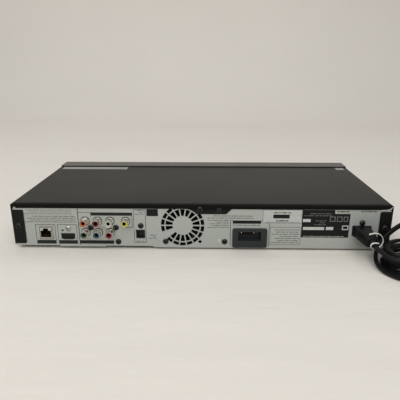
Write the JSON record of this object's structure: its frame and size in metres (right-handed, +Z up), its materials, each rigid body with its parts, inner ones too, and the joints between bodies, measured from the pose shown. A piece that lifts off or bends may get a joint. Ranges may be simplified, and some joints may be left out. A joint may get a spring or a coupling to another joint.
{
  "type": "blu-ray player",
  "caption": "Slim disc player seen from its rear, with a sliding disc tray, a tilting drive, a fan, sockets and a coiled mains lead.",
  "frame": {"origin": "centre of the base on the table", "axes": "+Z up, -Y towards the front with the tray, +Y towards the rear sockets, +X to the right seen from the front"},
  "size_m": [0.5135, 0.2975, 0.0562],
  "materials": {
    "cover_paint": "fine satin",
    "panel_steel": "satin",
    "bezel_plastic": "satin",
    "black_plastic": "satin",
    "white_plastic": "satin",
    "smoked_plastic": "gloss",
    "rubber": "matt",
    "zinc_steel": "satin",
    "bright_steel": "gloss",
    "copper_motor": "satin",
    "board": "satin",
    "aluminium": "satin",
    "ferrite": "matt",
    "can_sleeve": "gloss",
    "glass": "gloss",
    "collar_plastic": "gloss",
    "black_screw": "satin",
    "ribbon": "satin",
    "cord_pvc": "satin",
    "tie_pvc": "satin"
  },
  "bodies": {
    "case": {"bottom_chassis": "panel_steel", "rear_panel": "panel_steel", "top_cover": "cover_paint", "front_bezel": "bezel_plastic", "display_window": "smoked_plastic", "feet": "rubber", "loader_chassis": "black_plastic", "clamp_bridge": "zinc_steel", "damper_bushes": "rubber", "loading_motor": "copper_motor", "loading_belt": "rubber", "main_board": "board", "main_heatsink": "aluminium", "power_board": "board", "transformer": "ferrite", "capacitors": "can_sleeve", "display_board": "board", "vfd_display": "glass", "tact_switches": "black_plastic", "lan_jack": "bright_steel", "hdmi_jack": "bright_steel", "rca_block": "black_plastic", "rca_shells": "bright_steel", "rca_collars": "collar_plastic", "optical_jack": "black_plastic", "ext_bezel": "black_plastic", "ext_socket": "black_plastic", "ac_inlet": "black_plastic", "fan_frame": "black_plastic", "case_screws": "black_screw", "panel_screws": "black_screw", "board_screws": "zinc_steel", "ribbon_cables": "ribbon", "power_connector": "cord_pvc", "cord_lead": "cord_pvc", "cord_hank": "cord_pvc", "cord_tie": "tie_pvc", "mains_plug": "cord_pvc", "cord_tail": "cord_pvc"},
    "tray": {"disc_tray": "black_plastic", "tray_door": "bezel_plastic"},
    "tray_gear_body": {"tray_gear": "white_plastic"},
    "pulley_gear_body": {"pulley_gear": "white_plastic"},
    "motor_pulley_body": {"motor_pulley": "white_plastic"},
    "cam": {"cam_slider": "white_plastic"},
    "traverse": {"traverse_base": "zinc_steel", "spindle_motor": "copper_motor", "guide_rods": "bright_steel", "sled_motor": "copper_motor"},
    "platter": {"turntable": "black_plastic"},
    "clamp": {"disc_clamp": "white_plastic"},
    "pickup": {"optical_pickup": "aluminium", "pickup_lens": "glass"},
    "screw": {"lead_screw": "bright_steel"},
    "rotor": {"fan_rotor": "black_plastic"},
    "power_key": {"power_button": "bezel_plastic"},
    "eject_key": {"open_close_button": "bezel_plastic"},
    "play_key": {"play_button": "bezel_plastic"},
    "stop_key": {"stop_button": "bezel_plastic"},
    "flap": {"optical_shutter": "black_plastic"}
  },
  "joints": [
    {"name": "tray_slide", "type": "slide", "parent": "case", "child": "tray", "axis": [0, -1, 0], "range_m": [0, 0.132]},
    {"name": "tray_gear_spin", "type": "hinge", "parent": "case", "child": "tray_gear_body", "pos_m": [-0.0675, -0.074, 0.024], "axis": [0, 0, 1], "range_deg": [-620, 620]},
    {"name": "pulley_gear_spin", "type": "hinge", "parent": "case", "child": "pulley_gear_body", "pos_m": [-0.04775, -0.07713, 0.021], "axis": [0, 0, 1], "range_deg": [-1030, 1030]},
    {"name": "motor_pulley_spin", "type": "hinge", "parent": "case", "child": "motor_pulley_body", "pos_m": [-0.014, -0.078, 0.018], "axis": [0, 0, 1], "range_deg": [-2600, 2600]},
    {"name": "cam_slide", "type": "slide", "parent": "case", "child": "cam", "axis": [1, 0, 0], "range_m": [0, 0.016]},
    {"name": "traverse_tilt", "type": "hinge", "parent": "case", "child": "traverse", "pos_m": [-0.024, 0.06, 0.017], "axis": [1, 0, 0], "range_deg": [0, 2.4]},
    {"name": "turntable_spin", "type": "hinge", "parent": "traverse", "child": "platter", "pos_m": [-0.024, -0.024, 0.03], "axis": [0, 0, 1], "continuous": true},
    {"name": "clamp_spin", "type": "hinge", "parent": "case", "child": "clamp", "pos_m": [-0.024, -0.024, 0.04], "axis": [0, 0, 1], "continuous": true},
    {"name": "sled_slide", "type": "slide", "parent": "traverse", "child": "pickup", "axis": [0, 1, 0], "range_m": [0, 0.033]},
    {"name": "lead_screw_spin", "type": "hinge", "parent": "traverse", "child": "screw", "pos_m": [0.019, 0.022, 0.0208], "axis": [0, 1, 0], "range_deg": [-4000, 4000]},
    {"name": "fan_spin", "type": "hinge", "parent": "case", "child": "rotor", "pos_m": [0.0202, 0.094, 0.03], "axis": [0, 1, 0], "continuous": true},
    {"name": "power_press", "type": "slide", "parent": "case", "child": "power_key", "axis": [0, 1, 0], "range_m": [0, 0.0005], "stiffness_N_per_m": 800, "springref_m": -0.0003},
    {"name": "eject_press", "type": "slide", "parent": "case", "child": "eject_key", "axis": [0, 1, 0], "range_m": [0, 0.0005], "stiffness_N_per_m": 800, "springref_m": -0.0003},
    {"name": "play_press", "type": "slide", "parent": "case", "child": "play_key", "axis": [0, 1, 0], "range_m": [0, 0.0005], "stiffness_N_per_m": 800, "springref_m": -0.0003},
    {"name": "stop_press", "type": "slide", "parent": "case", "child": "stop_key", "axis": [0, 1, 0], "range_m": [0, 0.0005], "stiffness_N_per_m": 800, "springref_m": -0.0003},
    {"name": "flap_swing", "type": "hinge", "parent": "case", "child": "flap", "pos_m": [0.0687, 0.0964, 0.0221], "axis": [1, 0, 0], "range_deg": [-80, 0], "stiffness_Nm_per_rad": 0.0004, "springref_deg": 11.46}
  ],
  "couplings": [
    {"joint": "tray_gear_spin", "follows": "tray_slide", "rad_per_m": 80},
    {"joint": "pulley_gear_spin", "follows": "tray_slide", "rad_per_m": -133.33},
    {"joint": "motor_pulley_spin", "follows": "tray_slide", "rad_per_m": -328.89},
    {"joint": "traverse_tilt", "follows": "cam_slide", "rad_per_m": 2.6042},
    {"joint": "clamp_spin", "follows": "turntable_spin", "ratio": 1},
    {"joint": "lead_screw_spin", "follows": "sled_slide", "rad_per_m": 2094.4}
  ]
}
